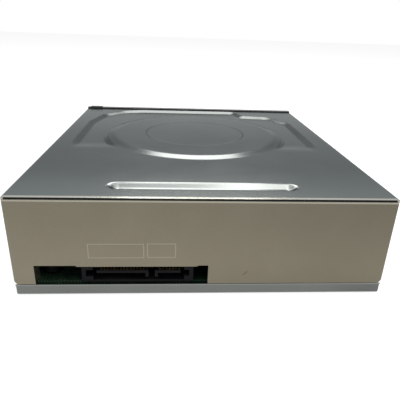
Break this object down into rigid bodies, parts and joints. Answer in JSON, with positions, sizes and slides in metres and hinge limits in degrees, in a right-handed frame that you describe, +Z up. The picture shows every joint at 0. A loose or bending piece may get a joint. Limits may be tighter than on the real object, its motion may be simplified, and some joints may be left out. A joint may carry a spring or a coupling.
{
  "type": "internal optical disc writer",
  "caption": "Half-height internal disc writer with a sliding disc tray, steel case and rear power and data connector.",
  "frame": {"origin": "under the middle of the whole drive, on the plane the drive rests on", "axes": "+Z up, front bezel faces -Y, connector panel faces +Y, X across the width"},
  "size_m": [0.1466, 0.17, 0.0425],
  "materials": {
    "cover_steel": "galvanised sheet with a fine grain",
    "panel_steel": "warm grey plated sheet",
    "base_steel": "plain plated sheet",
    "screw_steel": "zinc plated screws",
    "bright_steel": "ground and plated rod",
    "bezel_plastic": "fine grained black moulding",
    "black_plastic": "plain black moulding",
    "grey_plastic": "grey moulding",
    "white_plastic": "natural acetal",
    "clear_plastic": "clear light guide",
    "lens_glass": "coated lens",
    "rubber_black": "soft black rubber",
    "board_green": "dark green laminate with solder resist",
    "chip_black": "moulded package",
    "capacitor_can": "aluminium can",
    "gold_contact": "gold plated contact",
    "magnet_dark": "sintered magnet",
    "zinc_alloy": "die-cast alloy",
    "motor_can": "drawn motor can",
    "flex_film": "amber film cable",
    "lamp_white": "small surface lamp"
  },
  "bodies": {
    "root": {"top_cover": "cover_steel", "case_frame": "panel_steel", "bottom_cover": "base_steel", "case_screws": "screw_steel", "front_bezel": "bezel_plastic", "light_pipe": "clear_plastic", "switch_board": "board_green", "eject_switch": "chip_black", "status_lamp": "lamp_white", "main_chassis": "black_plastic", "pivot_grommets": "rubber_black", "clamp_bridge": "base_steel", "loading_motor": "motor_can", "loading_belt": "rubber_black", "main_board": "board_green", "controller_chip": "chip_black", "driver_chip": "chip_black", "memory_chip": "chip_black", "board_capacitors": "capacitor_can", "cable_sockets": "white_plastic", "pickup_cable": "flex_film", "front_cable": "flex_film", "drive_connector": "black_plastic", "connector_contacts": "gold_contact"},
    "tray_unit": {"tray": "grey_plastic", "tray_door": "bezel_plastic"},
    "drive_gear_unit": {"drive_gear": "white_plastic"},
    "pulley_gear_unit": {"pulley_gear": "white_plastic"},
    "motor_pulley_unit": {"motor_pulley": "white_plastic"},
    "cam_unit": {"slide_cam": "white_plastic"},
    "traverse_unit": {"traverse_frame": "grey_plastic", "guide_rods": "bright_steel", "screw_bracket": "base_steel", "stepper_motor": "motor_can", "spindle_base": "base_steel"},
    "spindle_unit": {"spindle_rotor": "motor_can", "turntable_pad": "rubber_black"},
    "clamper_unit": {"clamper": "white_plastic", "clamp_magnet": "magnet_dark", "clamp_yoke": "screw_steel"},
    "screw_unit": {"lead_screw": "bright_steel"},
    "pickup_unit": {"pickup_body": "zinc_alloy", "rack_nut": "white_plastic", "actuator_base": "base_steel", "actuator_magnets": "magnet_dark"},
    "lens_unit": {"lens_holder": "black_plastic", "objective_lens": "lens_glass"},
    "button_unit": {"eject_button": "bezel_plastic"}
  },
  "joints": [
    {"name": "tray_slide", "type": "slide", "parent": "root", "child": "tray_unit", "axis": [0, -1, 0], "range_m": [0, 0.133]},
    {"name": "drive_gear_spin", "type": "hinge", "parent": "root", "child": "drive_gear_unit", "pos_m": [0.047, -0.063, 0.018], "axis": [0, 0, 1], "range_deg": [-847.55, 0]},
    {"name": "pulley_gear_spin", "type": "hinge", "parent": "root", "child": "pulley_gear_unit", "pos_m": [0.02822, -0.067, 0.02], "axis": [0, 0, 1], "range_deg": [0, 2542.65]},
    {"name": "motor_pulley_spin", "type": "hinge", "parent": "root", "child": "motor_pulley_unit", "pos_m": [-0.00798, -0.067, 0.02], "axis": [0, 0, 1], "range_deg": [0, 6810.68]},
    {"name": "traverse_tilt", "type": "hinge", "parent": "root", "child": "traverse_unit", "pos_m": [0, 0.0659, 0.0175], "axis": [1, 0, 0], "range_deg": [0, 4.5]},
    {"name": "cam_slide", "type": "slide", "parent": "root", "child": "cam_unit", "axis": [1, 0, 0], "range_m": [0, 0.018]},
    {"name": "spindle_spin", "type": "hinge", "parent": "traverse_unit", "child": "spindle_unit", "pos_m": [0, -0.0106, 0.024], "axis": [0, 0, 1], "continuous": true},
    {"name": "clamper_spin", "type": "hinge", "parent": "root", "child": "clamper_unit", "pos_m": [0, -0.0106, 0.035], "axis": [0, 0, 1], "continuous": true},
    {"name": "sled_slide", "type": "slide", "parent": "traverse_unit", "child": "pickup_unit", "axis": [0, 1, 0], "range_m": [0, 0.0355]},
    {"name": "lead_screw_spin", "type": "hinge", "parent": "traverse_unit", "child": "screw_unit", "pos_m": [-0.036, 0.02, 0.02], "axis": [0, 1, 0], "range_deg": [0, 4264.26]},
    {"name": "lens_focus", "type": "slide", "parent": "pickup_unit", "child": "lens_unit", "axis": [0, 0, 1], "range_m": [-0.0005, 0.0005], "stiffness_N_per_m": 60},
    {"name": "button_press", "type": "slide", "parent": "root", "child": "button_unit", "axis": [0, 1, 0], "range_m": [0, 0.0008], "stiffness_N_per_m": 900}
  ],
  "couplings": [
    {"joint": "drive_gear_spin", "follows": "tray_slide", "rad_per_m": -111.11},
    {"joint": "pulley_gear_spin", "follows": "tray_slide", "rad_per_m": 333.33},
    {"joint": "motor_pulley_spin", "follows": "tray_slide", "rad_per_m": 892.86},
    {"joint": "cam_slide", "follows": "traverse_tilt", "m_per_rad": 0.22918},
    {"joint": "clamper_spin", "follows": "spindle_spin", "ratio": 1},
    {"joint": "lead_screw_spin", "follows": "sled_slide", "rad_per_m": 2094.4}
  ]
}
